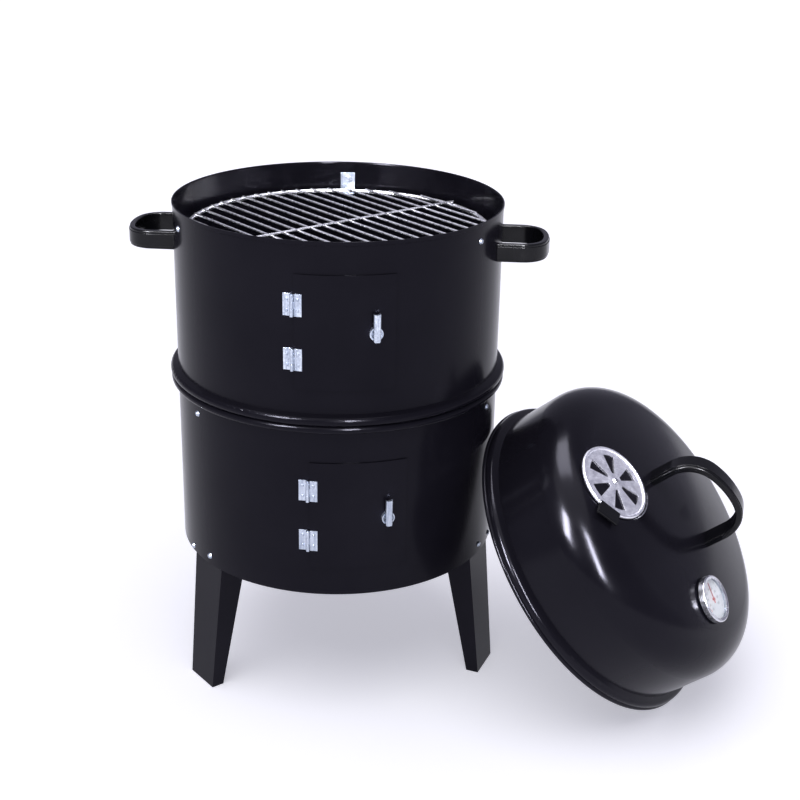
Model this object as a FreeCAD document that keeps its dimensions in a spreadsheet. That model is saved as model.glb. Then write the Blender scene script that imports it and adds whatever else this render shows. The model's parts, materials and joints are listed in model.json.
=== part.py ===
import FreeCAD, Part
import math
import os
import re
import Sketcher

# Vertical water smoker, taken apart for cooking: two barrels stand on three legs, and the domed
# lid leans on the lower barrel and stands on the floor on its own rim.
# Millimetres, with the floor at z = 0. The pieces of the barrels are drawn about the barrels' axis,
# each with its local +X pointing outward at the piece's bearing. The pieces of the lid are drawn
# about the lid's axis, with the edge of its rim at z = 0 and its crown towards +Z.

doc = FreeCAD.newDocument("water_smoker")
dims = doc.addObject("Spreadsheet::Sheet", "dims")

DIMENSIONS = {
    # place of the barrels' axis, from the middle of the whole object's footprint
    "axis_x": -137.1,
    "axis_y": 44.6,
    # barrels
    "barrel_radius": 200.0,
    "steel": 1.5,
    "floor_clearance": 165.0,
    "top_height": 600.0,
    "joint_height": 385.0,
    "hem_depth": 5.0,
    "hem_proud": 0.8,
    "collar_radius": 209.8,
    "collar_height": 13.0,
    "rim_radius": 209.0,
    "rim_depth": 10.0,
    "neck_height": 12.0,
    "neck_gap": 1.4,
    "body_gap": 0.3,
    # doors
    "door_width": 115.0,
    "door_height": 135.0,
    "door_lap": 8.0,
    "door_thick": 1.2,
    "door_gap": 0.4,
    "upper_door_middle": 494.5,
    "lower_door_middle": 269.5,
    "upper_door_bearing": -87.8,
    "lower_door_bearing": -83.0,
    # butt hinges of the doors
    "pivot_radius": 203.9,
    "pivot_from_door": 1.7,
    "hinge_height": 26.0,
    "hinge_spacing": 64.0,
    "leaf_width": 8.9,
    "leaf_thick": 0.9,
    "knuckle_radius": 2.2,
    "pin_radius": 1.1,
    "pin_clearance": 0.05,
    "rivet_radius": 1.9,
    # turn latches
    "latch_from_middle": 34.0,
    "upper_latch_height": 494.5,
    "lower_latch_height": 265.5,
    "escutcheon_radius": 7.8,
    "escutcheon_depth": 4.0,
    "lever_above": 24.5,
    "lever_below": 8.5,
    "lever_width": 8.0,
    "lever_thick": 4.0,
    "spindle_radius": 2.5,
    "spindle_clearance": 0.08,
    "tongue_reach": 24.0,
    # brackets that carry the grates and pans
    "upper_bracket_rear": 86.5,
    "upper_bracket_left": 200.8,
    "upper_bracket_right": 324.7,
    "lower_bracket_rear": 95.0,
    "lower_bracket_left": 212.8,
    "lower_bracket_right": 335.0,
    "charcoal_bracket_turn": -40.0,
    "bracket_width": 19.0,
    "bracket_height": 26.0,
    "bracket_foot": 16.0,
    "upper_bracket_foot_height": 561.3,
    "lower_bracket_foot_height": 344.0,
    "charcoal_bracket_foot_height": 211.0,
    "charcoal_bracket_foot": 28.0,
    # grates
    "grate_radius": 186.5,
    "grate_bearing": -53.5,
    "ring_wire": 5.0,
    "bar_wire": 2.8,
    "bar_pitch": 19.5,
    # pans
    "pan_steel": 1.2,
    "pan_flange": 9.0,
    "pan_taper": 12.0,
    "water_pan_radius": 189.0,
    "water_pan_depth": 58.0,
    "charcoal_pan_radius": 178.0,
    "charcoal_pan_depth": 36.0,
    # legs
    "leg_bearing": 95.3,
    "leg_width": 51.0,
    "leg_width_top": 61.0,
    "leg_splay": 15.5,
    "leg_depth_top": 34.0,
    "leg_depth_foot": 16.0,
    "leg_plate_height": 34.0,
    "leg_screw_near": 2.6,
    "leg_screw_far": 10.3,
    "leg_face_radius": 196.4,
    # handles
    "grip_width": 22.5,
    "grip_thick": 8.5,
    "grip_lip": 0.8,
    "grip_lip_width": 3.6,
    "side_handle_bearing": -6.3,
    "side_handle_height": 551.3,
    "side_handle_reach": 57.0,
    "side_handle_half": 48.0,
    "side_handle_corner": 32.0,
    "side_handle_crown": 90.0,
    "lid_grip_width": 25.5,
    "lid_grip_thick": 9.6,
    "lid_handle_top": 214.5,
    "lid_handle_half": 59.0,
    "lid_handle_corner": 44.0,
    "lid_handle_crown": 110.0,
    "lid_handle_bearing": 105.0,
    # lid
    "lid_rim_radius": 206.4,
    "lid_wall_radius": 194.9,
    "lid_height": 143.2,
    "shoulder_radius": 52.0,
    "crown_radius": 777.0,
    "lid_distance": 333.8,
    "lid_bearing": -15.6,
    "lid_facing": -27.0,
    "lid_rise": 39.4,
    "lid_floor_gap": 0.3,
    # vent in the lid
    "vent_radius": 48.0,
    "vent_from_axis": 127.0,
    "vent_bearing": 137.5,
    "vent_tilt": 11.5,
    "vent_lift": 0.9,
    "vent_dish": 425.0,
    "vent_skirt": 6.5,
    "vent_window_inner": 11.0,
    "vent_window_outer": 37.0,
    "vent_turn": 28.7,
    "vent_tab_bearing": 33.3,
    "vent_tab_half": 14.2,
    "vent_tab_reach": 16.0,
    "vent_stop_bearing": 122.0,
    # thermometer in the lid
    "gauge_radius": 28.5,
    "gauge_from_axis": 117.0,
    "gauge_bearing": -120.5,
    "gauge_tilt": 9.5,
    "gauge_depth": 9.0,
}
for row, (alias, number) in enumerate(DIMENSIONS.items(), start=1):
    dims.set(f"A{row}", alias.replace("_", " "))
    dims.set(f"B{row}", str(number))
    dims.setAlias(f"B{row}", alias)
doc.recompute()

BEARINGS = 3
sub_parts = []


# ---------------------------------------------------------------- sheet, sketches and primitives

def val(expression):
    """The number that an expression in the sheet's names stands for."""
    return float(dims.evalExpression(str(expression)))


def bound(expression):
    """The same expression as another object of the document writes it."""
    return re.sub(r"[a-z_]*_?[a-z]+", lambda m: "dims." + m[0] if m[0] in DIMENSIONS else m[0],
                  str(expression))


def bind(item, **sizes):
    for name, expression in sizes.items():
        setattr(item, name, val(expression))
        item.setExpression(name, bound(expression))
    return item


def sub_part(item, label, placement=None):
    """Names a finished piece, and turns it to its place."""
    item.Label = label
    if placement is not None:
        item.Placement = placement
    sub_parts.append(item)
    return item


def frame(x=0.0, y=0.0, z=0.0, turn=0.0, axis=(0, 0, 1)):
    return FreeCAD.Placement(FreeCAD.Vector(x, y, z), FreeCAD.Rotation(FreeCAD.Vector(*axis), turn))


def box(x, y, z, length, width, height, placement=None):
    """A block whose lowest corner is at x, y, z in the frame given."""
    block = doc.addObject("Part::Box", "block")
    bind(block, Length=length, Width=width, Height=height)
    block.Placement = (placement or frame()) * frame(val(x), val(y), val(z))
    return block


def rod(radius, height, placement):
    """A round bar along the frame's own +Z."""
    bar = doc.addObject("Part::Cylinder", "rod")
    bind(bar, Radius=radius, Height=height)
    bar.Placement = placement
    return bar


def cone(radius_low, radius_high, height, placement):
    taper = doc.addObject("Part::Cone", "cone")
    bind(taper, Radius1=radius_low, Radius2=radius_high, Height=height)
    taper.Placement = placement
    return taper


def joined(items):
    union = doc.addObject("Part::MultiFuse", "joined")
    union.Shapes = items
    return union


def cut(base, tool):
    difference = doc.addObject("Part::Cut", "cut")
    difference.Base = base
    difference.Tool = tool
    return difference


def outline(body, plane, corners, arcs=None, offset=None):
    """A closed outline in a plane of the body. Each corner is a pair of expressions. arcs gives,
    for the edge that starts at a corner, a radius and the side that the edge bulges to."""
    arcs = arcs or {}
    sketch = body.newObject("Sketcher::SketchObject", body.Name + "_outline")
    support = [f for f in body.Origin.OriginFeatures if f.Role == plane][0]
    sketch.AttachmentSupport = [(support, "")]
    sketch.MapMode = "FlatFace"
    if offset is not None:
        sketch.AttachmentOffset = offset
    points = [FreeCAD.Vector(val(x), val(y), 0) for x, y in corners]
    starts = []
    for i, start in enumerate(points):
        end = points[(i + 1) % len(points)]
        if i not in arcs:
            sketch.addGeometry(Part.LineSegment(start, end), False)
            starts.append((1, 2))
            continue
        radius, side = arcs[i]
        chord = end - start
        half = chord.Length / 2
        rise = val(radius) - math.sqrt(max(val(radius) ** 2 - half ** 2, 0))
        normal = FreeCAD.Vector(chord.y, -chord.x, 0).normalize() * side
        sketch.addGeometry(Part.Arc(start, start + chord / 2 + normal * rise, end), False)
        first = sketch.getPoint(i, 1)
        starts.append((1, 2) if (first - start).Length < (first - end).Length else (2, 1))
    for i in range(len(points)):
        after = (i + 1) % len(points)
        sketch.addConstraint(Sketcher.Constraint("Coincident", i, starts[i][1], after, starts[after][0]))
    for i, (x, y) in enumerate(corners):
        for kind, expression in (("DistanceX", x), ("DistanceY", y)):
            index = sketch.addConstraint(Sketcher.Constraint(kind, i, starts[i][0], val(expression)))
            sketch.setExpression(f"Constraints[{index}]", bound(expression))
        if i in arcs:
            index = sketch.addConstraint(Sketcher.Constraint("Radius", i, val(arcs[i][0])))
            sketch.setExpression(f"Constraints[{index}]", bound(arcs[i][0]))
    return sketch


def lathe(name, corners, arcs=None, sweep=None):
    """A body turned about its own Z axis. A part turn is centred on the XZ plane."""
    body = doc.addObject("PartDesign::Body", name)
    turned = body.newObject("PartDesign::Revolution", name + "_turned")
    turned.Profile = outline(body, "XZ_Plane", corners, arcs)
    turned.ReferenceAxis = (turned.Profile[0], ["V_Axis"])
    if sweep is not None:
        turned.Midplane = True
        bind(turned, Angle=sweep)
    return body


def padded(name, plane, corners, arcs, length, offset=None):
    """A body of one outline, as thick to each side of its plane."""
    body = doc.addObject("PartDesign::Body", name)
    pad = body.newObject("PartDesign::Pad", name + "_pad")
    pad.Profile = outline(body, plane, corners, arcs, offset)
    pad.Midplane = True
    bind(pad, Length=length)
    return body


def pocket(body, plane, corners, arcs, length, reverse, offset=None):
    """Cuts an outline out of the body, and makes sure that something was cut."""
    doc.recompute()
    before = body.Shape.Volume
    cutter = body.newObject("PartDesign::Pocket", body.Name + "_pocket")
    cutter.Profile = outline(body, plane, corners, arcs, offset)
    cutter.Reversed = reverse
    bind(cutter, Length=length)
    doc.recompute()
    assert body.Shape.Volume < before - 1, body.Name + ": the pocket cuts nothing"
    return cutter


def around(body, feature, count):
    """Repeats a feature evenly about the body's Z axis."""
    pattern = body.newObject("PartDesign::PolarPattern", body.Name + "_pattern")
    pattern.Originals = [feature]
    pattern.Axis = ([f for f in body.Origin.OriginFeatures if f.Role == "Z_Axis"][0], [""])
    pattern.Angle = 360
    pattern.Occurrences = count
    body.Tip = pattern
    doc.recompute()


def rounded(body, radius, keep):
    """Rounds the edges that keep picks out, by their middle point and length."""
    doc.recompute()
    names = []
    for i, edge in enumerate(body.Shape.Edges, start=1):
        if keep(edge):
            names.append(f"Edge{i}")
    rounded_from = body.Tip
    fillet = body.newObject("PartDesign::Fillet", body.Name + "_round")
    fillet.Base = (rounded_from, names)
    bind(fillet, Radius=radius)
    doc.recompute()
    return fillet


def arch(half, top, corner, crown, inset="0"):
    """Where the arcs of an arch meet, on its right-hand side: the leg's end, and the crown's end.
    The inset gives the parallel curve inside it."""
    leg_end = f"({top} - {crown} + sqrt(({crown} - {corner})^2 - ({half} - {corner})^2))"
    reach = f"({crown} - {inset}) / ({crown} - {corner})"
    crown_x = f"(({half} - {corner}) * {reach})"
    crown_z = f"({top} - {crown} + ({leg_end} - {top} + {crown}) * {reach})"
    return leg_end, crown_x, crown_z


def arch_band(half, top, corner, crown, inset, thick, foot):
    """The outline of a bent strap: an arch with straight legs, thick inside its inset curve."""
    corners = []
    arcs = {}
    for layer, sense in ((inset, 1), (f"({inset} + {thick})", -1)):
        leg_end, crown_x, crown_z = arch(half, top, corner, crown, layer)
        leg_x = f"({half} - {layer})"
        side = [(leg_x, foot), (leg_x, leg_end), (crown_x, crown_z)]
        mirrored = [(f"(-{x})", z) for x, z in reversed(side)]
        start = len(corners)
        run = side + mirrored
        if sense < 0:
            run = list(reversed(run))
        corners += run
        small, large = f"({corner} - {layer})", f"({crown} - {layer})"
        for step, radius in ((1, small), (2, large), (3, small)):
            arcs[start + step] = (radius, sense)
    return corners, arcs


# ------------------------------------------------------------------------------ places

AXIS = frame(val("axis_x"), val("axis_y"))


def at_bearing(bearing):
    return AXIS * frame(turn=val(bearing))


LID_TILT = 90 - val("lid_rise")
LID_BEARING = math.radians(val("lid_bearing"))
LID_CENTRE_HEIGHT = val("lid_rim_radius * cos(lid_rise * 1deg) + lid_floor_gap")
LID = (
    AXIS
    * frame(
        val("lid_distance") * math.cos(LID_BEARING),
        val("lid_distance") * math.sin(LID_BEARING),
        LID_CENTRE_HEIGHT,
        val("lid_facing"),
    )
    * frame(turn=LID_TILT, axis=(0, 1, 0))
    * frame(turn=90)
)


def on_crown(from_axis, bearing, tilt):
    """A frame on the lid's crown, leaning outward, with +X pointing away from the lid's axis."""
    height = val(f"lid_height - crown_radius + sqrt(crown_radius^2 - {from_axis}^2)")
    return (LID * frame(turn=val(bearing)) * frame(val(from_axis), 0, height)
            * frame(turn=val(tilt), axis=(0, 1, 0)))


VENT = (on_crown("vent_from_axis", "vent_bearing", "vent_tilt")
        * frame(z=val("vent_lift"), turn=val("vent_turn")))
GAUGE = on_crown("gauge_from_axis", "gauge_bearing", "gauge_tilt")
OUTWARD = frame(turn=90, axis=(0, 1, 0))


# ------------------------------------------------------------------------------ barrels

def door_opening(barrel, middle):
    side = "(door_width / 2 - door_lap)"
    low = f"({middle} - door_height / 2 + door_lap)"
    high = f"({middle} + door_height / 2 - door_lap)"
    corners = [(f"(-{side})", low), (side, low), (side, high), (f"(-{side})", high)]
    pocket(barrel, "YZ_Plane", corners, None, "barrel_radius + 20", True)


def make_upper_barrel():
    """A plain cylinder with a hemmed top edge and a flared collar that sits on the lower rim."""
    low = "joint_height + body_gap"
    inner = "barrel_radius - steel"
    corners = [
        (inner, low),
        ("collar_radius - 4.3", low),
        ("collar_radius - 3.2", "joint_height + 10.5"),
        ("barrel_radius", "joint_height + collar_height"),
        ("barrel_radius", "top_height - hem_depth"),
        ("barrel_radius + hem_proud", "top_height - hem_depth + 0.6"),
        ("barrel_radius + hem_proud", "top_height - 0.3"),
        ("barrel_radius - steel + 0.6", "top_height - 0.3"),
        (inner, "top_height - 1.8"),
    ]
    arcs = {1: ("5.8", 1), 6: ("1.35", 1)}
    barrel = lathe("upper_barrel", corners, arcs)
    door_opening(barrel, "upper_door_middle")
    sub_part(barrel, "upper_barrel", at_bearing("upper_door_bearing"))


def make_lower_barrel():
    """A cylinder whose rolled rim carries the upper one, and whose neck goes up inside it."""
    inner = "barrel_radius - steel"
    neck = "barrel_radius - steel - neck_gap"
    corners = [
        ("barrel_radius - 1.2", "floor_clearance"),
        ("barrel_radius", "floor_clearance + 1.2"),
        ("barrel_radius", "joint_height - rim_depth - 0.6"),
        ("rim_radius - 3.4", "joint_height - rim_depth + 1.0"),
        ("rim_radius - 4.2", "joint_height"),
        (neck, "joint_height"),
        (neck, "joint_height + neck_height"),
        (f"{neck} - steel", "joint_height + neck_height"),
        (f"{neck} - steel", "joint_height - 3"),
        (inner, "joint_height - 6"),
        (inner, "floor_clearance"),
    ]
    barrel = lathe("lower_barrel", corners, {3: ("4.8", 1)})
    door_opening(barrel, "lower_door_middle")
    sub_part(barrel, "lower_barrel", at_bearing("lower_door_bearing"))


def make_bottom_plate():
    """A disc closing the lower barrel, notched where the three legs pass it."""
    plate = doc.addObject("Part::Cylinder", "plate")
    bind(plate, Radius="barrel_radius - steel - 0.1", Height="steel")
    plate.Placement = frame(z=val("floor_clearance + 0.4"))
    notches = []
    for i in range(BEARINGS):
        turned = frame(turn=val("leg_bearing") + 120 * i)
        notches.append(box("leg_face_radius - 6", "-leg_width / 2 - 2", "floor_clearance - 5",
                           "20", "leg_width + 4", "20", turned))
    sub_part(cut(plate, joined(notches)), "bottom_plate", AXIS)


# ------------------------------------------------------------------------------ legs and brackets

def make_leg(label, turn):
    """A channel of folded sheet: a broad face outward, two flanges that taper towards the foot, a
    folded sole, and a saddle that stands against the inside of the barrel."""
    face, splay, foot = "leg_face_radius", "leg_splay", "leg_depth_foot"
    top = "floor_clearance - 0.6"
    skins = []
    for name, skin in (("_outside", "0"), ("_inside", "steel")):
        inward = f"({skin} * 1.1)"
        open_side = f"({skin} * 10)"
        side = padded(label + name + "_side", "XZ_Plane", [
            (f"{face} + {splay} - {inward}", skin),
            (f"{face} - {inward}", f"{top} + {skin}"),
            (f"{face} - leg_depth_top - {open_side}", f"{top} + {skin}"),
            (f"{face} + {splay} - {foot} - {open_side}", skin),
        ], None, "leg_width_top + 10")
        narrow, wide = f"(leg_width / 2 - {skin})", f"(leg_width_top / 2 - {skin})"
        front = padded(label + name + "_front", "YZ_Plane", [
            (f"(-{narrow})", skin), (narrow, skin),
            (wide, f"{top} + {skin}"), (f"(-{wide})", f"{top} + {skin}"),
        ], None, f"2 * ({face} + {splay}) + 40")
        skin_solid = doc.addObject("Part::MultiCommon", "leg_skin")
        skin_solid.Shapes = [side, front]
        skins.append(skin_solid)
    plate = box(f"{face} - steel", "2 * steel - leg_width / 2", f"{top} - 6", "steel",
                "leg_width - 4 * steel", "24")
    wall = "barrel_radius - steel - 0.2"
    low, high = "floor_clearance + 2.6", "floor_clearance + leg_plate_height"
    saddle = lathe(label + "_saddle", [(f"{wall} - 2.2", low), (wall, low), (wall, high),
                                       (f"{wall} - 2.2", high)], None, "2 * leg_screw_far + 5")
    turned = AXIS * frame(turn=val("leg_bearing") + turn)
    sub_part(joined([cut(*skins), plate, saddle]), label, turned)


def screws(label, places, shank, nuts=True):
    """Pan-head screws, each at a frame whose +X is the way its head faces."""
    pieces = []
    for place in places:
        pieces.append(rod("2.0", shank, place * frame(-val(shank) + 0.05) * OUTWARD))
        pieces.append(cone("3.8", "2.4", "1.9", place * OUTWARD))
        if not nuts:
            continue
        nut = doc.addObject("Part::Prism", "nut")
        nut.Polygon = 6
        bind(nut, Circumradius="4.0", Height="2.6")
        nut.Placement = place * frame(-val(shank) + 0.6) * OUTWARD
        pieces.append(nut)
    sub_part(joined(pieces), label, AXIS)


def brackets(label, bearings, foot_height, foot, screw_label=None):
    """Three angle brackets inside a barrel, welded or each with a screw. Their feet carry a ring."""
    wall = "barrel_radius - steel - 0.3"
    pieces = []
    places = []
    low = f"{foot_height} - steel"
    for bearing in bearings:
        turned = frame(turn=val(bearing))
        pieces.append(box(f"{wall} - steel", "-bracket_width / 2", low,
                          "steel", "bracket_width", "bracket_height", turned))
        pieces.append(box(f"{wall} - {foot}", "-bracket_width / 2", low,
                          foot, "bracket_width", "steel", turned))
        head = f"{foot_height} + bracket_height - 9"
        places.append(turned * frame(val("barrel_radius") - 0.1, 0, val(head)))
    sub_part(joined(pieces), label, AXIS)
    if screw_label:
        screws(screw_label, places, "6.5")


def make_leg_screws():
    """Two screws hold each leg's saddle to the wall."""
    places = []
    for i, side in enumerate((1, 1, -1)):
        for offset, height in (("-leg_screw_far", "floor_clearance + 7"),
                               ("leg_screw_near", "floor_clearance + 12")):
            turn = val("leg_bearing") + 120 * i + side * val(offset)
            places.append(frame(turn=turn) * frame(val("barrel_radius") - 0.1, 0, val(height)))
    screws("leg_screws", places, "8.5")


# ------------------------------------------------------------------------------ doors

def door_angle():
    return "(door_width / barrel_radius * 180 / pi)"


def make_door(which):
    """A curved panel that laps its opening, hung on two butt hinges and held by a turn latch."""
    middle, bearing = f"{which}_door_middle", f"{which}_door_bearing"
    low = f"{middle} - door_height / 2"
    high = f"{middle} + door_height / 2"
    inner = "barrel_radius + door_gap"
    outer = "barrel_radius + door_gap + door_thick"
    panel = lathe(which + "_panel", [(inner, low), (outer, low), (outer, high), (inner, high)],
                  None, door_angle())
    latch_turn = val("latch_from_middle / barrel_radius * 180 / pi")
    latch_place = frame(turn=latch_turn) * frame(val("barrel_radius - 5"), 0,
                                                 val(which + "_latch_height")) * OUTWARD
    bored = cut(panel, rod("spindle_radius + spindle_clearance", "12", latch_place))
    sub_part(bored, which + "_door", at_bearing(bearing))
    make_hinges(which, middle, bearing)
    make_latch(which, bearing)


def hinge_turn(bearing):
    return val(f"{bearing} - (door_width / 2 + pivot_from_door) / barrel_radius * 180 / pi")


def make_hinges(which, middle, bearing):
    """Two butt hinges. The barrel's leaves have the outer knuckles, the door's the middle one."""
    turned = frame(turn=hinge_turn(bearing))
    barrel_leaves, door_leaves, bores, pins = [], [], [], []
    barrel_rivets, door_rivets = [], []
    third = val("hinge_height") / 3
    for side in (-1, 1):
        low = val(f"{middle} - hinge_height / 2") + side * val("hinge_spacing") / 2
        pivot = turned * frame(val("pivot_radius"), 0, low)
        leaf_face = "barrel_radius + 0.05"
        barrel_leaves.append(box(leaf_face, "-leaf_width - knuckle_radius", low, "leaf_thick",
                                 "leaf_width + 1.0", "hinge_height", turned))
        door_face = "barrel_radius + door_gap + door_thick + 0.05"
        door_leaves.append(box(door_face, "knuckle_radius + 0.15", low, "leaf_thick",
                               "leaf_width", "hinge_height", turned))
        for i in range(3):
            start = low + third * i + (0.15 if i == 1 else 0)
            length = third - (0.3 if i == 1 else 0)
            knuckle = rod("knuckle_radius", length, turned * frame(val("pivot_radius"), 0, start))
            if i == 1:
                web = box(door_face, "0.2", start, "leaf_thick + 0.9", "knuckle_radius + 0.2",
                          length, turned)
                door_leaves += [knuckle, web]
            else:
                web = box(leaf_face, "-knuckle_radius", start, "pivot_radius - barrel_radius - 0.05",
                          "knuckle_radius - 0.8", length, turned)
                barrel_leaves += [knuckle, web]
        bores.append(rod("pin_radius + pin_clearance", "hinge_height + 2", pivot * frame(z=-1)))
        pins.append(rod("pin_radius", "hinge_height + 0.6", pivot * frame(z=-0.3)))
        for height in (6.5, 19.5):
            for leaf, rivets, face, tail in ((-1, barrel_rivets, "barrel_radius + 0.95", 3.0),
                                             (1, door_rivets, "barrel_radius + 2.55", 2.0)):
                across = leaf * val("knuckle_radius + leaf_width / 2")
                spot = turned * frame(val(face), across, low + height) * OUTWARD
                rivets.append(cone("rivet_radius", "rivet_radius - 0.7", "0.9", spot))
                rivets.append(rod("1.1", tail + 0.2, spot * frame(z=-tail)))
    sub_part(cut(joined(barrel_leaves), joined(bores)), which + "_hinge_barrel_leaves", AXIS)
    sub_part(cut(joined(door_leaves), joined([doc.copyObject(b) for b in bores])),
             which + "_hinge_door_leaves", AXIS)
    sub_part(joined(pins), which + "_hinge_pins", AXIS)
    sub_part(joined(barrel_rivets), which + "_hinge_barrel_rivets", AXIS)
    sub_part(joined(door_rivets), which + "_hinge_door_rivets", AXIS)


def make_latch(which, bearing):
    """A lever outside, on a spindle through a cupped plate, turns a tongue behind the wall."""
    turn = val(f"{bearing} + latch_from_middle / barrel_radius * 180 / pi")
    place = AXIS * frame(turn=turn) * frame(z=val(which + "_latch_height"))
    face = val("barrel_radius + door_gap + door_thick")
    cup = rod("escutcheon_radius", "escutcheon_depth", frame(face) * OUTWARD)
    hollow = rod("escutcheon_radius - 1.3", "3.0", frame(face + 1.2) * OUTWARD)
    hole = rod("spindle_radius + spindle_clearance", "12", frame(face - 3) * OUTWARD)
    sub_part(cut(cup, joined([hollow, hole])), which + "_latch_plate", place)
    start = val("barrel_radius - 5.6")
    spindle = rod("spindle_radius", "12.2", frame(start) * OUTWARD)
    sub_part(spindle, which + "_latch_spindle", place * spindle.Placement)
    half = "(lever_width / 2)"
    lever = padded(which + "_latch_lever", "YZ_Plane", [
        (f"(-{half})", "-lever_below + 1.5"), ("-lever_width / 2 + 1.5", "-lever_below"),
        ("lever_width / 2 - 1.5", "-lever_below"), (half, "-lever_below + 1.5"),
        (half, "lever_above"), (f"(-{half})", "lever_above"),
    ], {4: ("9", -1)}, "lever_thick")
    rounded(lever, "1.4", lambda edge: abs(edge.CenterOfMass.x - val("lever_thick") / 2) < 0.01
            and edge.Length > 20)
    sub_part(lever, which + "_latch_lever", place * frame(face + 4.6 + val("lever_thick") / 2))
    tongue = box("0", "-6", "-7", "steel", "12", "tongue_reach + 7")
    sub_part(tongue, which + "_latch_tongue", place * frame(start - 0.1, -6, -7))


# ------------------------------------------------------------------------------ grates and pans

def make_grate(which, height, turn):
    """A wire ring with parallel bars welded across its top, and one stay over the bars."""
    ring = doc.addObject("Part::Torus", "ring")
    bind(ring, Radius1="grate_radius - ring_wire / 2", Radius2="ring_wire / 2")
    middle = val("grate_radius - ring_wire / 2")
    pitch = val("bar_pitch")
    count = int(middle // pitch)
    wires = [ring]
    for i in range(-count, count + 1):
        across = pitch * i
        half = math.sqrt(middle ** 2 - across ** 2)
        start = frame(-half, across, val("ring_wire / 2 + 0.2"))
        wires.append(rod("bar_wire / 2", 2 * half, start * OUTWARD))
    over = val("ring_wire / 2 + bar_wire - 0.1")
    stay = frame(0, -middle, over) * frame(turn=-90, axis=(1, 0, 0))
    wires.append(rod("bar_wire / 2", 2 * middle, stay))
    place = AXIS * frame(z=val(f"{height} + ring_wire / 2"), turn=turn)
    sub_part(joined(wires), which + "_grate", place)


def make_pan(label, radius, depth, height):
    """A pressed pan with a flat flange round its mouth. height is the underside of the flange."""
    mouth = f"({radius} - pan_flange)"
    foot = f"({mouth} - pan_taper)"
    steel = "pan_steel"
    corners = [
        ("0", f"-{depth}"), (f"{foot} - 8", f"-{depth}"), (foot, f"-{depth} + 8"),
        (mouth, "0"), (radius, "0"), (radius, steel), (f"{mouth} - {steel}", steel),
        (f"{foot} - {steel}", f"-{depth} + 8"), (f"{foot} - 8", f"-{depth} + {steel}"),
        ("0", f"-{depth} + {steel}"),
    ]
    arcs = {1: ("8", 1), 7: ("8 - pan_steel * 0.9", -1)}
    pan = lathe(label, corners, arcs)
    sub_part(pan, label, AXIS * frame(z=val(height)))


# ------------------------------------------------------------------------------ handles

def handle(label, place, grip, arch_sizes, foot, seat):
    """A moulded loop whose outside is raised between two low lips. grip is its width and its
    thickness. The arch stands in the local XZ plane, and its ends are cut to their seat."""
    solids = []
    wide, thick = grip
    for layer, width, radius in (("grip_lip", wide, "1.8"),
                                 ("0", f"{wide} - 2 * grip_lip_width", "0.5")):
        corners, arcs = arch_band(*arch_sizes, layer, f"({thick} - 2 * grip_lip)", foot)
        solid = padded(f"{label}_layer_{len(solids)}", "XZ_Plane", corners, arcs, width)
        side = val(width) / 2
        rounded(solid, radius, lambda edge: abs(abs(edge.CenterOfMass.y) - side) < 0.01
                and edge.Length > 12)
        solids.append(solid)
    sub_part(cut(joined(solids), seat), label + "_grip", place)


def make_side_handle(which, bearing):
    """A loop lying level at the side of the upper barrel."""
    place = (at_bearing("side_handle_bearing") * frame(0, 0, val("side_handle_height"), bearing)
             * frame(turn=90, axis=(0, 1, 0)) * frame(turn=90, axis=(0, 0, 1)))
    seat = rod("barrel_radius + 0.05", "60", frame(0, 30, 0, 90, (1, 0, 0)))
    sizes = ("side_handle_half", "(barrel_radius + side_handle_reach)", "side_handle_corner",
             "side_handle_crown")
    handle(which + "_handle", place, ("grip_width", "grip_thick"), sizes,
           "(barrel_radius - 10)", seat)


def make_side_handle_screws():
    """One screw from inside the barrel into each end of the two side handles."""
    across = "(side_handle_half - grip_thick / 2)"
    wall = val(f"sqrt((barrel_radius - steel)^2 - {across}^2)")
    places = []
    for bearing in (0, 180):
        for side in (-1, 1):
            places.append(frame(turn=bearing)
                          * frame(wall - 0.9, side * val(across), val("side_handle_height"), 180))
    screws("side_handle_screws", places, "11", nuts=False)
    sub_parts[-1].Placement = at_bearing("side_handle_bearing")


def make_lid_handle():
    """The lid's handle: a tall arch across the crown, screwed from under it."""
    across = "(lid_handle_half - lid_grip_thick / 2)"
    under = val(f"lid_height - crown_radius + sqrt((crown_radius - steel)^2 - {across}^2)")
    place = LID * frame(turn=val("lid_handle_bearing"))
    sizes = ("lid_handle_half", "lid_handle_top", "lid_handle_corner", "lid_handle_crown")
    handle("lid_handle", place, ("lid_grip_width", "lid_grip_thick"), sizes,
           "(lid_height - 10)", dome_form("handle_seat"))
    places = [frame(side * val(across), 0, under - 0.3, 90, (0, 1, 0)) for side in (-1, 1)]
    screws("lid_handle_screws", places, "11", nuts=False)
    sub_parts[-1].Placement = place


# ------------------------------------------------------------------------------ lid

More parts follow.
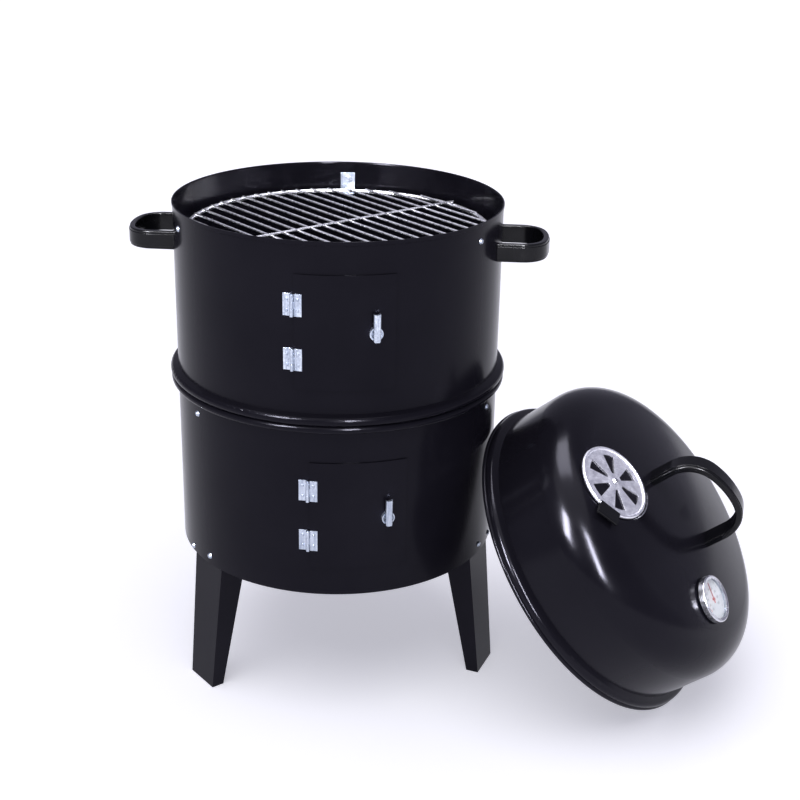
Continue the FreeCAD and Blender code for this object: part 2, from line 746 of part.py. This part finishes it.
def dome_outline(filled=False):
    """The dome's section: upright wall, rounded shoulder, flat crown, and a rim of two rolled
    beads. Filled, it is the outer shape alone, 0.05 proud, down to the top of the wall."""
    proud = "0.05" if filled else "0"
    wall = f"(lid_wall_radius + {proud})"
    leg_end, crown_r, crown_z = arch("lid_wall_radius", "lid_height", "shoulder_radius",
                                     "crown_radius", f"(-{proud})")
    rim = "lid_rim_radius"
    shoulder, crown = f"(shoulder_radius + {proud})", f"(crown_radius + {proud})"
    if filled:
        corners = [("0", leg_end), (wall, leg_end), (crown_r, crown_z), ("0", f"lid_height + {proud}")]
        return corners, {1: (shoulder, 1), 2: (crown, 1)}
    _, inner_r, inner_z = arch("lid_wall_radius", "lid_height", "shoulder_radius", "crown_radius",
                               "steel")
    corners = [
        (f"{rim} - 3.0", "0"),
        (f"{rim} - 0.9", "0"),
        (f"{rim} - 1.9", "4.9"),
        (f"{rim} - 6.4", "14.8"),
        (wall, "17.2"),
        (wall, leg_end),
        (crown_r, crown_z),
        ("0", "lid_height"),
        ("0", "lid_height - steel"),
        (inner_r, inner_z),
        ("lid_wall_radius - steel", leg_end),
        ("lid_wall_radius - steel", "15.8"),
        (f"{rim} - 7.6", "13.0"),
        (f"{rim} - 3.6", "5.0"),
    ]
    arcs = {
        1: ("2.9", 1),
        2: ("7.6", 1),
        5: (shoulder, 1),
        6: (crown, 1),
        8: ("(crown_radius - steel)", -1),
        9: ("(shoulder_radius - steel)", -1),
        12: ("6.4", -1),
    }
    return corners, arcs


def dome_form(name, place=None):
    """The room that the dome fills, which is cut out of the pieces that stand on it."""
    form = lathe(name, *dome_outline(filled=True))
    form.Placement = place or frame()
    return form


def make_lid_dome():
    """The pressed dome, with a hole under the vent and one for the thermometer's stem."""
    dome = lathe("dome", *dome_outline())
    back = LID.inverse()
    vent_hole = rod("vent_window_outer + 3", "40", back * VENT * frame(z=-20))
    stem_hole = rod("4.6", "40", back * GAUGE * frame(z=-20))
    sub_part(cut(dome, joined([vent_hole, stem_hole])), "lid_dome", LID)


def vent_windows(body):
    """Six wedge-shaped windows, evenly round the disc."""
    near, far = "vent_window_inner", "vent_window_outer"
    corners = [
        (f"{near} * cos(5deg)", f"-{near} * sin(5deg) - 1.2"),
        (f"{far} * cos(13.5deg)", f"-{far} * sin(13.5deg)"),
        (f"{far} * cos(13.5deg)", f"{far} * sin(13.5deg)"),
        (f"{near} * cos(5deg)", f"{near} * sin(5deg) + 1.2"),
    ]
    first = pocket(body, "XY_Plane", corners, {1: (far, 1)}, "30", False,
                   FreeCAD.Placement(FreeCAD.Vector(0, 0, 15), FreeCAD.Rotation()))
    around(body, first, 6)


def dished(lift, reach):
    """Height of the vent's dished sheet at a distance from its middle."""
    return f"({lift} - vent_dish + sqrt(vent_dish^2 - ({reach})^2))"


def make_vent():
    """A fixed windowed plate on the crown, with a damper that turns over it on a rivet. The
    damper's windows lie half way between the plate's: the vent is shut."""
    edge = "vent_radius"
    base = lathe("vent_disc", [
        ("2.6", dished("1.8", "2.6")), (edge, dished("1.8", edge)), (edge, "-vent_skirt"),
        (f"{edge} - 1.1", "-vent_skirt"), (f"{edge} - 1.1", dished("0.8", f"({edge} - 1.1)")),
        ("2.6", dished("0.8", "2.6")),
    ], {0: ("vent_dish", 1), 4: ("vent_dish", -1)})
    vent_windows(base)
    shut = VENT * frame(turn=30)
    sub_part(cut(base, dome_form("base_seat", shut.inverse() * LID)), "vent_base", shut)
    rim_in, rim_out = "(vent_radius - 4.6)", "(vent_radius - 0.4)"
    damper = lathe("vent_damper", [
        ("2.6", dished("3.1", "2.6")), (rim_in, dished("3.1", rim_in)),
        (f"({rim_in} + 1.2)", dished("4.6", rim_in)), (f"({rim_out} - 0.9)", dished("4.6", rim_in)),
        (rim_out, dished("3.4", rim_in)), (rim_out, dished("2.1", rim_out)),
        ("2.6", dished("2.1", "2.6")),
    ], {0: ("vent_dish", 1), 5: ("vent_dish", -1)})
    vent_windows(damper)
    sub_part(damper, "vent_damper", VENT)
    rivet = joined([rod("2.5", "5.0", frame(z=-0.6)), cone("4.6", "2.8", "1.8", frame(z=3.4)),
                    rod("4.4", "1.4", frame(z=-0.7))])
    sub_part(rivet, "vent_rivet", VENT)
    near, far = f"{edge} - 2.4", f"{edge} + vent_tab_reach"
    tab = padded("vent_tab", "XY_Plane", [
        (near, "-vent_tab_half"), (far, "-vent_tab_half"), (far, "vent_tab_half"),
        (near, "vent_tab_half"),
    ], None, "4.2")
    rounded(tab, "1.5", lambda e: abs(e.CenterOfMass.x - val(far)) < 0.01)
    lift = dished("5.4", rim_in)
    sub_part(tab, "vent_tab", VENT * frame(z=val(lift) + 0.9, turn=val("vent_tab_bearing")))
    stop = lathe("stop_ring", [
        (f"{edge} + 1.0", "-vent_skirt - 2"), (f"{edge} + 2.2", "-vent_skirt - 2"),
        (f"{edge} + 2.2", "2.4"), (f"{edge} + 1.0", "2.4"),
    ], None, "48")
    stop_place = VENT * frame(turn=val("vent_stop_bearing"))
    sub_part(cut(stop, dome_form("stop_seat", stop_place.inverse() * LID)), "vent_stop", stop_place)


# ------------------------------------------------------------------------------ thermometer

def make_thermometer():
    """A bimetal dial thermometer: a stem and nut under the crown, a cup, dial and glass above."""
    edge, deep = "gauge_radius", "gauge_depth"
    lift = GAUGE * frame(z=0.6)
    cup = lathe("gauge_cup", [
        ("0", "0.6"), (f"{edge} - 3", "0.6"), (f"{edge} - 1.6", "2"), (f"{edge} - 1.6", f"{deep} - 3"),
        (f"{edge} - 2.8", f"{deep} - 3"), (f"{edge} - 2.8", "2.2"), ("0", "2.2"),
    ])
    sub_part(cup, "gauge_cup", lift)
    bezel = lathe("gauge_bezel", [
        (f"{edge} - 1.5", "1.5"), (edge, "1.5"), (edge, f"{deep} - 1.6"), (f"{edge} - 1.6", deep),
        (f"{edge} - 4.4", f"{deep} - 0.6"), (f"{edge} - 4.4", f"{deep} - 1.6"),
        (f"{edge} - 1.5", f"{deep} - 1.6"),
    ], {2: ("1.6", 1)})
    sub_part(bezel, "gauge_bezel", lift)
    dial = lathe("gauge_dial", [("1.4", "2.25"), (f"{edge} - 2.9", "2.25"),
                                (f"{edge} - 2.9", "3.05"), ("1.4", "3.05")])
    sub_part(dial, "gauge_dial", lift)
    glass = lathe("gauge_glass", [("0", f"{deep} - 2.98"), (f"{edge} - 1.7", f"{deep} - 2.98"),
                                  (f"{edge} - 1.7", f"{deep} - 1.7"), ("0", f"{deep} - 1.7")])
    sub_part(glass, "gauge_glass", lift)
    stem = rod("4.5", "66", frame(z=-64.8))
    sub_part(stem, "gauge_stem", lift * stem.Placement)
    nut = doc.addObject("Part::Prism", "nut")
    nut.Polygon = 6
    bind(nut, Circumradius="9", Height="5")
    bored = cut(nut, rod("4.55", "8", frame(z=-1)))
    sub_part(bored, "gauge_nut", lift * frame(z=-7.4))
    pointer = padded("pointer", "XY_Plane", [
        ("-5", "-1.0"), (f"{edge} - 8", "-0.3"), (f"{edge} - 8", "0.3"), ("-5", "1.0"),
    ], None, "0.5")
    needle = joined([pointer, rod("1.9", "1.2", frame(z=-0.4)), rod("1.2", "2.0", frame(z=-1.9))])
    sub_part(needle, "gauge_needle", lift * frame(z=4.6, turn=200))


# ------------------------------------------------------------------------------ the smoker

make_lower_barrel()
make_upper_barrel()
make_bottom_plate()
for name, turn in (("rear_leg", 0), ("left_leg", 120), ("right_leg", 240)):
    make_leg(name, turn)
make_leg_screws()
SIDES = ("rear", "left", "right")
brackets("upper_brackets", [f"upper_bracket_{side}" for side in SIDES],
         "upper_bracket_foot_height", "bracket_foot", "upper_bracket_screws")
brackets("lower_brackets", [f"lower_bracket_{side}" for side in SIDES],
         "lower_bracket_foot_height", "bracket_foot", "lower_bracket_screws")
brackets("charcoal_brackets", [f"lower_bracket_{side} + charcoal_bracket_turn" for side in SIDES],
         "charcoal_bracket_foot_height", "charcoal_bracket_foot")
make_door("upper")
make_door("lower")
make_grate("upper", "upper_bracket_foot_height + body_gap", val("grate_bearing"))
make_grate("lower", "lower_bracket_foot_height + pan_steel + 2 * body_gap", val("grate_bearing"))
make_pan("water_pan", "water_pan_radius", "water_pan_depth", "lower_bracket_foot_height + body_gap")
make_pan("charcoal_pan", "charcoal_pan_radius", "charcoal_pan_depth",
         "charcoal_bracket_foot_height + body_gap")
make_side_handle("right", 0)
make_side_handle("left", 180)
make_side_handle_screws()
make_lid_dome()
make_lid_handle()
make_vent()
make_thermometer()
doc.recompute()

for item in doc.Objects:
    assert not {"Invalid", "Error"} & set(item.State), (item.Name, item.Label, item.State)
os.makedirs("parts", exist_ok=True)
for piece in sub_parts:
    assert not piece.Shape.isNull() and piece.Shape.isValid(), piece.Label
    piece.Shape.exportStep(os.path.join("parts", piece.Label + ".step"))
    print(piece.Label, len(piece.Shape.Solids), round(piece.Shape.Volume, 1))
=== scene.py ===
import json
import math

import bmesh
import bpy
from mathutils import Matrix, Vector


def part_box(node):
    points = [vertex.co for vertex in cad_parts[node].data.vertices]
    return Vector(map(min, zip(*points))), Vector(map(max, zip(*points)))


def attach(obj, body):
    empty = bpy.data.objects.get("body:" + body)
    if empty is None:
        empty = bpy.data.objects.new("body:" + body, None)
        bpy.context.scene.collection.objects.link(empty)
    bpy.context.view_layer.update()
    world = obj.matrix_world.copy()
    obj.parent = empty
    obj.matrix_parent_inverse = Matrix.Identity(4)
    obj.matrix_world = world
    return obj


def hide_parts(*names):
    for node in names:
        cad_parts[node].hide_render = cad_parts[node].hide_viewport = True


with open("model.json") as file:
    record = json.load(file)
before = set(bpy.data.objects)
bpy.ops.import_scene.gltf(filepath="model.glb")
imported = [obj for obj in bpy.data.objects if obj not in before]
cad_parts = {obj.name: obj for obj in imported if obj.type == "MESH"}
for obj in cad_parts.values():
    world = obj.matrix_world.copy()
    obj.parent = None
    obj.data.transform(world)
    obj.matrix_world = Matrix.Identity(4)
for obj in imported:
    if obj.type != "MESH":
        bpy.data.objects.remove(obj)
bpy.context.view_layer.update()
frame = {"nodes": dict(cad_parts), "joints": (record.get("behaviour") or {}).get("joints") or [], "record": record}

# ------------------------------------------------------------------- places read from the frame

BODY_OF = {}
for body_name, members in frame["record"]["behaviour"]["bodies"].items():
    for member in members:
        BODY_OF[member] = body_name
SLOT_OF = {part["node"]: part["material_slot"] for part in frame["record"]["subparts"]}
JOINT = {joint["name"]: joint for joint in frame["joints"]}

low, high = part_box("lower_barrel")
AXIS = Vector(((low.x + high.x) / 2, (low.y + high.y) / 2, 0))
BOTTOM = low.z
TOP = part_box("upper_barrel")[1].z
UPPER_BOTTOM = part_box("upper_barrel")[0].z
BARREL_RADIUS = 0.2
MM = 0.001


def frame_at(origin, up, along):
    """A matrix whose +Z is up, and whose +X lies as near to along as it can."""
    z = up.normalized()
    x = (along - z * along.dot(z)).normalized()
    return Matrix.Translation(origin) @ Matrix((x, z.cross(x), z)).transposed().to_4x4()


# ------------------------------------------------------------------------------- materials

class Paint:
    """A Principled material, with small helpers to add the nodes that vary it."""

    def __init__(self, name, roughness, metallic=0.0, **sockets):
        self.material = bpy.data.materials.new(name)
        self.material.use_nodes = True
        self.nodes = self.material.node_tree.nodes
        self.links = self.material.node_tree.links
        self.shader = self.nodes["Principled BSDF"]
        self.shader.inputs["Roughness"].default_value = roughness
        self.shader.inputs["Metallic"].default_value = metallic
        for socket, value in sockets.items():
            self.shader.inputs[socket.replace("_", " ")].default_value = value
        self.place = self.nodes.new("ShaderNodeTexCoord").outputs["Object"]

    def noise(self, scale, detail=3.0, stretch=(1, 1, 1)):
        mapping = self.nodes.new("ShaderNodeMapping")
        mapping.inputs["Scale"].default_value = stretch
        self.links.new(self.place, mapping.inputs["Vector"])
        texture = self.nodes.new("ShaderNodeTexNoise")
        texture.inputs["Scale"].default_value = scale
        texture.inputs["Detail"].default_value = detail
        self.links.new(mapping.outputs["Vector"], texture.inputs["Vector"])
        return texture.outputs["Fac"]

    def ramp(self, source, stops):
        """Maps a value to greys or colours. stops are two pairs of place and grey or colour."""
        ramp = self.nodes.new("ShaderNodeValToRGB")
        for element, (place, color) in zip(ramp.color_ramp.elements, stops):
            element.position = place
            element.color = (*color, 1) if isinstance(color, tuple) else (color, color, color, 1)
        self.links.new(source, ramp.inputs["Fac"])
        return ramp.outputs["Color"]

    def color(self, source, stops):
        self.links.new(self.ramp(source, stops), self.shader.inputs["Base Color"])

    def roughness(self, source, stops):
        self.links.new(self.ramp(source, stops), self.shader.inputs["Roughness"])

    def bump(self, source, strength, distance):
        bump = self.nodes.new("ShaderNodeBump")
        bump.inputs["Strength"].default_value = strength
        bump.inputs["Distance"].default_value = distance
        self.links.new(source, bump.inputs["Height"])
        if self.shader.inputs["Normal"].is_linked:
            self.links.new(self.shader.inputs["Normal"].links[0].from_socket, bump.inputs["Normal"])
        self.links.new(bump.outputs["Normal"], self.shader.inputs["Normal"])


def black_enamel(name, rough, specular):
    """Baked black on sheet steel: faint clouding, and a skin that is not quite flat."""
    paint = Paint(name, rough, Specular_IOR_Level=specular, Specular_Tint=(0.88, 0.87, 1.0, 1))
    clouds = paint.noise(7.0, 4.0)
    paint.color(clouds, [(0.35, (0.0084, 0.0078, 0.0118)), (0.65, (0.0116, 0.0108, 0.0156))])
    paint.roughness(paint.noise(26.0, 5.0), [(0.3, rough - 0.02), (0.7, rough + 0.03)])
    paint.bump(paint.noise(420.0, 2.0), 0.03, 0.0005)
    paint.bump(paint.noise(11.0, 1.0), 0.04, 0.003)
    return paint.material


def zinc(name, rough):
    """Bright zinc plate: bluish, with a fine rolled grain."""
    paint = Paint(name, rough, 1.0)
    streaks = paint.noise(320.0, 3.0, (1, 1, 0.12))
    paint.color(streaks, [(0.3, (0.28, 0.32, 0.40)), (0.7, (0.52, 0.56, 0.63))])
    paint.roughness(paint.noise(500.0, 3.0), [(0.3, rough - 0.06), (0.7, rough + 0.1)])
    paint.bump(streaks, 0.10, 0.0002)
    return paint.material


def chrome(name, rough):
    """Bright chrome plate on drawn wire."""
    paint = Paint(name, rough, 1.0)
    paint.color(paint.noise(35.0, 4.0), [(0.3, (0.90, 0.90, 0.93)), (0.7, (0.98, 0.98, 1.0))])
    paint.roughness(paint.noise(180.0, 3.0), [(0.3, rough - 0.04), (0.7, rough + 0.07)])
    paint.bump(paint.noise(500.0, 2.0), 0.05, 0.0003)
    return paint.material


def pressed_steel(name, tone, rough):
    """Bare pressed steel with a fine grain all one way."""
    paint = Paint(name, rough, 1.0)
    grain = paint.noise(900.0, 3.0, (0.06, 1, 1))
    dark, light = 0.8 * tone, 1.2 * tone
    paint.color(grain, [(0.3, (dark, dark, 0.86 * tone)), (0.7, (light, light, 1.27 * tone))])
    paint.roughness(paint.noise(160.0, 3.0), [(0.3, rough - 0.06), (0.7, rough + 0.08)])
    paint.bump(grain, 0.12, 0.0002)
    return paint.material


def moulded_black(name, rough):
    """Black plastic with a moulded skin."""
    paint = Paint(name, rough, Specular_IOR_Level=0.22)
    clouds = paint.noise(18.0)
    paint.color(clouds, [(0.3, (0.0045, 0.0045, 0.0060)), (0.7, (0.0070, 0.0070, 0.0090))])
    paint.roughness(paint.noise(70.0, 4.0), [(0.3, rough - 0.05), (0.7, rough + 0.08)])
    paint.bump(paint.noise(1400.0, 1.0), 0.06, 0.0003)
    return paint.material


def pan_enamel():
    """Porcelain enamel, glossy, with fine pale flecks."""
    paint = Paint("pan_enamel", 0.16)
    paint.color(paint.noise(700.0, 1.0), [(0.70, (0.009, 0.009, 0.010)), (0.76, (0.10, 0.10, 0.11))])
    paint.roughness(paint.noise(30.0, 4.0), [(0.3, 0.12), (0.7, 0.24)])
    paint.bump(paint.noise(60.0, 2.0), 0.06, 0.001)
    return paint.material


def dial_white():
    """White paint on the dial's plate."""
    paint = Paint("dial_face", 0.5)
    paint.color(paint.noise(90.0), [(0.3, (0.76, 0.77, 0.77)), (0.7, (0.86, 0.86, 0.85))])
    paint.roughness(paint.noise(200.0), [(0.3, 0.42), (0.7, 0.6)])
    return paint.material


def flat_ink(name, color):
    """Ink or paint of one colour, a little uneven."""
    paint = Paint(name, 0.5)
    darker = tuple(0.8 * part for part in color)
    paint.color(paint.noise(300.0), [(0.3, darker), (0.7, color)])
    return paint.material


def clear_glass():
    """The dial's clear glass."""
    paint = Paint("gauge_glass", 0.03, Transmission_Weight=1.0, IOR=1.45,
                  Base_Color=(0.95, 0.97, 0.98, 1))
    paint.roughness(paint.noise(60.0), [(0.3, 0.01), (0.7, 0.05)])
    return paint.material


BODY_BLACK = black_enamel("body_black", 0.18, 0.065)
LID_BLACK = black_enamel("lid_black", 0.17, 0.12)
MATERIAL = {
    "black_enamel": BODY_BLACK,
    "pan_enamel": pan_enamel(),
    "zinc_steel": zinc("zinc_plate", 0.32),
    "chrome_wire": chrome("chrome_wire", 0.28),
    "bright_steel": pressed_steel("bright_steel", 0.58, 0.24),
    "grip_plastic": moulded_black("grip_plastic", 0.18),
    "dial_face": dial_white(),
    "pointer_paint": flat_ink("pointer_red", (0.55, 0.02, 0.015)),
    "gauge_glass": clear_glass(),
}
INK = flat_ink("dial_ink", (0.02, 0.02, 0.022))
RED_INK = flat_ink("dial_red", (0.62, 0.16, 0.12))
# the lid's enamel is glossier than the barrels', and the vent's damper duller than the bezel
FINISH = {
    "lid_dome": LID_BLACK,
    "vent_base": LID_BLACK,
    "vent_damper": pressed_steel("damper_steel", 0.77, 0.40),
}


def material_of(node):
    return FINISH.get(node) or MATERIAL[SLOT_OF[node]]


def dress(piece, material, body):
    """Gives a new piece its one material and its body."""
    piece.data.materials.append(material)
    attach(piece, body)


def new_object(name, data):
    item = bpy.data.objects.new(name, data)
    bpy.context.scene.collection.objects.link(item)
    return item


def new_piece(name, bm):
    """An object of its own from a bmesh, which is freed."""
    mesh = bpy.data.meshes.new(name)
    bm.to_mesh(mesh)
    bm.free()
    return new_object(name, mesh)


def smooth(mesh, angle):
    """Shades the mesh smooth, but for edges sharper than the angle in degrees."""
    for polygon in mesh.polygons:
        polygon.use_smooth = True
    mesh.set_sharp_from_angle(angle=math.radians(angle))


# ----------------------------------------------------------- edges broken on pressed and cut steel

WELD = 0.002 * MM
FLAT_ANGLE = math.radians(0.3)
EDGE_ANGLE = math.radians(38)
# the width of the broken edge on each node of folded or cut sheet
SOFTENED = {
    "rear_leg": 0.6 * MM,
    "left_leg": 0.6 * MM,
    "right_leg": 0.6 * MM,
    "bottom_plate": 0.4 * MM,
    "upper_brackets": 0.4 * MM,
    "lower_brackets": 0.4 * MM,
    "charcoal_brackets": 0.4 * MM,
    "upper_latch_tongue": 0.4 * MM,
    "lower_latch_tongue": 0.4 * MM,
    "upper_hinge_barrel_leaves": 0.2 * MM,
    "lower_hinge_barrel_leaves": 0.2 * MM,
    "upper_hinge_door_leaves": 0.2 * MM,
    "lower_hinge_door_leaves": 0.2 * MM,
}


def soften(node, width):
    """Stands for a CAD node: the same shape, welded into one skin, its sharp edges rounded off."""
    bm = bmesh.new()
    bm.from_mesh(frame["nodes"][node].data)
    bmesh.ops.remove_doubles(bm, verts=bm.verts, dist=WELD)
    bmesh.ops.dissolve_limit(bm, angle_limit=FLAT_ANGLE, verts=bm.verts, edges=bm.edges)
    piece = new_piece(node + "_finished", bm)
    smooth(piece.data, 35)
    bevel = piece.modifiers.new("edge", "BEVEL")
    bevel.width = width
    bevel.segments = 3
    bevel.limit_method = "ANGLE"
    bevel.angle_limit = EDGE_ANGLE
    bevel.harden_normals = True
    dress(piece, material_of(node), BODY_OF[node])
    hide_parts(node)


for node, width in SOFTENED.items():
    soften(node, width)

for node, item in frame["nodes"].items():
    if node in SOFTENED:
        continue
    item.data.materials.clear()
    item.data.materials.append(material_of(node))


# ------------------------------------------------------------------------------- the dial's print

DIAL_LIFT = 0.46 * MM
INK_STEP = 0.02 * MM
# the scale runs clockwise from its start through its sweep, in degrees
SCALE_START = 225
SCALE_SWEEP = 270
SCALE_NUMBERS = 9
MARKS_PER_NUMBER = 5
SCALE_RADIUS = 23.2 * MM
LONG_MARK = (3.4 * MM, 0.5 * MM)
SHORT_MARK = (1.8 * MM, 0.3 * MM)
NUMBER_RADIUS = 12.6 * MM
NUMBER_HEIGHT = 3.6 * MM
NUMBER_VALUE = 50
# the red zone, of short bars side by side
ZONE_START = 215
ZONE_SWEEP = 100
ZONE_BARS = 24
ZONE_RADIUS = 17.2 * MM
ZONE_BAR = (2.2 * MM, 1.4 * MM)


def at_turn(radius, turn):
    return Vector((radius * math.cos(turn), radius * math.sin(turn), 0))


def flat_bar(bm, radius, size, turn):
    """A thin printed mark of a length and width, lying along the dial's radius at its turn."""
    length, width = size
    corners = [(-length / 2, -width / 2), (length / 2, -width / 2),
               (length / 2, width / 2), (-length / 2, width / 2)]
    spin = Matrix.Rotation(turn, 3, "Z")
    verts = [bm.verts.new(at_turn(radius, turn) + spin @ Vector((x, y, 0))) for x, y in corners]
    bm.faces.new(verts)


def place_on_dial(piece, dial, material):
    piece.matrix_world = dial
    dress(piece, material, "lid")


def make_scale(dial):
    marks = bmesh.new()
    steps = (SCALE_NUMBERS - 1) * MARKS_PER_NUMBER
    for step in range(steps + 1):
        size = SHORT_MARK if step % MARKS_PER_NUMBER else LONG_MARK
        turn = math.radians(SCALE_START - SCALE_SWEEP * step / steps)
        flat_bar(marks, SCALE_RADIUS - size[0] / 2, size, turn)
    place_on_dial(new_piece("dial_marks", marks), dial, INK)


def make_zone(dial):
    band = bmesh.new()
    for step in range(ZONE_BARS):
        turn = math.radians(ZONE_START - ZONE_SWEEP * step / ZONE_BARS)
        flat_bar(band, ZONE_RADIUS, ZONE_BAR, turn)
    under_marks = dial @ Matrix.Translation((0, 0, -INK_STEP))
    place_on_dial(new_piece("dial_zone", band), under_marks, RED_INK)


def make_numbers(dial):
    for step in range(SCALE_NUMBERS):
        turn = math.radians(SCALE_START - SCALE_SWEEP * step / (SCALE_NUMBERS - 1))
        text = bpy.data.curves.new(f"dial_number_{step}", "FONT")
        text.body = str(NUMBER_VALUE * (step + 1))
        text.size = NUMBER_HEIGHT
        text.align_x = "CENTER"
        text.align_y = "CENTER"
        spot = at_turn(NUMBER_RADIUS, turn) + Vector((0, 0, INK_STEP))
        number = new_object(text.name, text)
        place_on_dial(number, dial @ Matrix.Translation(spot), INK)


def make_dial():
    """The print on the thermometer's plate, read with the lid standing as it does here."""
    outward = -Vector(JOINT["gauge_needle_turn"]["axis"])
    plate_low, plate_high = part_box("gauge_dial")
    face = (plate_low + plate_high) / 2 + outward * DIAL_LIFT
    upright = frame_at(face, outward, Vector((0, 0, 1)))
    dial = upright @ Matrix.Rotation(-math.pi / 2, 4, "Z")
    make_scale(dial)
    make_zone(dial)
    make_numbers(dial)


make_dial()


# ------------------------------------------------------------------- the seams of the rolled sheets

# across the seam and proud of the barrel, in mm: two lapped edges with the weld's bead between them
SEAM_PROFILE = [(-5.0, -0.3), (-4.4, 0.35), (-1.3, 0.5), (-0.5, 0.95), (0.5, 0.95), (1.3, 0.5),
                (4.4, 0.35), (5.0, -0.3)]
BEAD_HALF_WIDTH = 1
BEAD_RIPPLE = 0.12
RIPPLE_TURN = 2.1
SEAM_STEPS = 24
SEAM_END_FADE = 0.4


def make_seam(name, body, bearing, bottom, top):
    """The lapped and welded upright seam at the back of a rolled sheet."""
    turn = math.radians(bearing)
    outward = Vector((math.cos(turn), math.sin(turn), 0))
    across = Vector((-math.sin(turn), math.cos(turn), 0))
    bm = bmesh.new()
    rings = []
    for step in range(SEAM_STEPS + 1):
        height = bottom + (top - bottom) * step / SEAM_STEPS
        fade = SEAM_END_FADE if step in (0, SEAM_STEPS) else 1.0
        ring = []
        for side, proud in SEAM_PROFILE:
            on_bead = abs(side) < BEAD_HALF_WIDTH
            ripple = 1 + BEAD_RIPPLE * math.sin(step * RIPPLE_TURN) * on_bead
            sagitta = (side * MM) ** 2 / (2 * BARREL_RADIUS)
            reach = BARREL_RADIUS - sagitta + proud * ripple * fade * MM
            spot = AXIS + outward * reach + across * side * MM
            ring.append(bm.verts.new((spot.x, spot.y, height)))
        rings.append(ring)
    for ring, above in zip(rings, rings[1:]):
        for i in range(len(ring) - 1):
            bm.faces.new((ring[i], ring[i + 1], above[i + 1], above[i]))
    seam = new_piece(name, bm)
    smooth(seam.data, 50)
    dress(seam, BODY_BLACK, body)


make_seam("upper_seam", "upper_section", 101, UPPER_BOTTOM + 16 * MM, TOP - 7 * MM)
make_seam("lower_seam", "lower_section", 107, BOTTOM + 3 * MM, BOTTOM + 207 * MM)


# ------------------------------------------------------------------------------- stage and lights

FLOOR_RADIUS = 40
FLOOR_DROP = 0.5 * MM


def floor_paper():
    """White studio paper, matt, with a little light of its own, which keeps it near white."""
    paper = Paint("floor_paper", 0.9, Specular_IOR_Level=0.0, Emission_Strength=0.45,
                  Emission_Color=(0.92, 0.92, 1, 1))
    paper.color(paper.noise(1.5), [(0.3, (0.925, 0.925, 0.93)), (0.7, (0.94, 0.94, 0.945))])
    return paper.material


def make_stage():
    """A plain pale floor, out to well behind the object."""
    bm = bmesh.new()
    bmesh.ops.create_circle(bm, cap_ends=True, radius=FLOOR_RADIUS, segments=96)
    floor = new_piece("floor", bm)
    floor.location.z = -FLOOR_DROP
    floor.data.materials.append(floor_paper())


def make_world(strength):
    world = bpy.data.worlds.new("studio")
    bpy.context.scene.world = world
    world.use_nodes = True
    background = world.node_tree.nodes["Background"]
    background.inputs["Color"].default_value = (0.80, 0.79, 1.0, 1)
    background.inputs["Strength"].default_value = strength


def lamp(name, light, towards):
    """Hangs a light that shines in a direction."""
    item = new_object(name, light)
    item.rotation_mode = "QUATERNION"
    item.rotation_quaternion = towards.to_track_quat("-Z", "Y")
    return item


def strip(name, place, target, size, power):
    """A soft panel, its power in watts. It only makes highlights, and lights nothing diffusely."""
    light = bpy.data.lights.new(name, "AREA")
    light.shape = "RECTANGLE"
    light.size, light.size_y = size
    light.energy = power
    light.color = (0.93, 0.93, 1.0)
    item = lamp(name, light, target - place)
    item.location = place
    item.visible_diffuse = False


def sky(name, towards, angle, strength):
    """A wide, even light from above, as from a ceiling of panels."""
    light = bpy.data.lights.new(name, "SUN")
    light.angle = math.radians(angle)
    light.energy = strength
    lamp(name, light, towards)


make_stage()
make_world(0.40)
sky("sky_panel", Vector((0.15, 0.25, -1.0)), 60, 1.3)
LID_FRONT = AXIS + Vector((0.28, -0.26, 0.26))
MOUTH = AXIS + Vector((0, 0, TOP))
strip("left_strip", AXIS + Vector((-1.25, -1.6, 1.6)), LID_FRONT, (0.42, 1.0), 200)
strip("front_strip", AXIS + Vector((0.30, -2.2, 1.40)), LID_FRONT, (0.26, 1.4), 170)
strip("over_grate", AXIS + Vector((0, 0.1, 2.1)), MOUTH, (0.9, 0.9), 38)


# ------------------------------------------------------------------------------- camera

EYE_DISTANCE = 1.7143
EYE_RISE = 0.4209
PITCH = math.radians(21.756)
YAW = math.radians(2.641)
ROLL = math.radians(1.139)
LENS = 64.9
SENSOR_WIDTH = 36


def make_camera():
    """The eye stands in front of the barrels' axis and above their top, and looks down on them."""
    forward = Vector((math.sin(YAW) * math.cos(PITCH), math.cos(YAW) * math.cos(PITCH),
                      -math.sin(PITCH)))
    level = Vector((math.cos(YAW), -math.sin(YAW), 0))
    rise = level.cross(forward)
    right = level * math.cos(ROLL) + rise * math.sin(ROLL)
    up = rise * math.cos(ROLL) - level * math.sin(ROLL)
    data = bpy.data.cameras.new("camera")
    data.sensor_width = SENSOR_WIDTH
    data.lens = LENS
    data.clip_end = 100
    camera = new_object("camera", data)
    eye = Matrix.Translation(AXIS + Vector((0, -EYE_DISTANCE, TOP + EYE_RISE)))
    camera.matrix_world = eye @ Matrix((right, up, -forward)).transposed().to_4x4()
    bpy.context.scene.camera = camera


make_camera()
bpy.context.scene.view_settings.view_transform = "Standard"
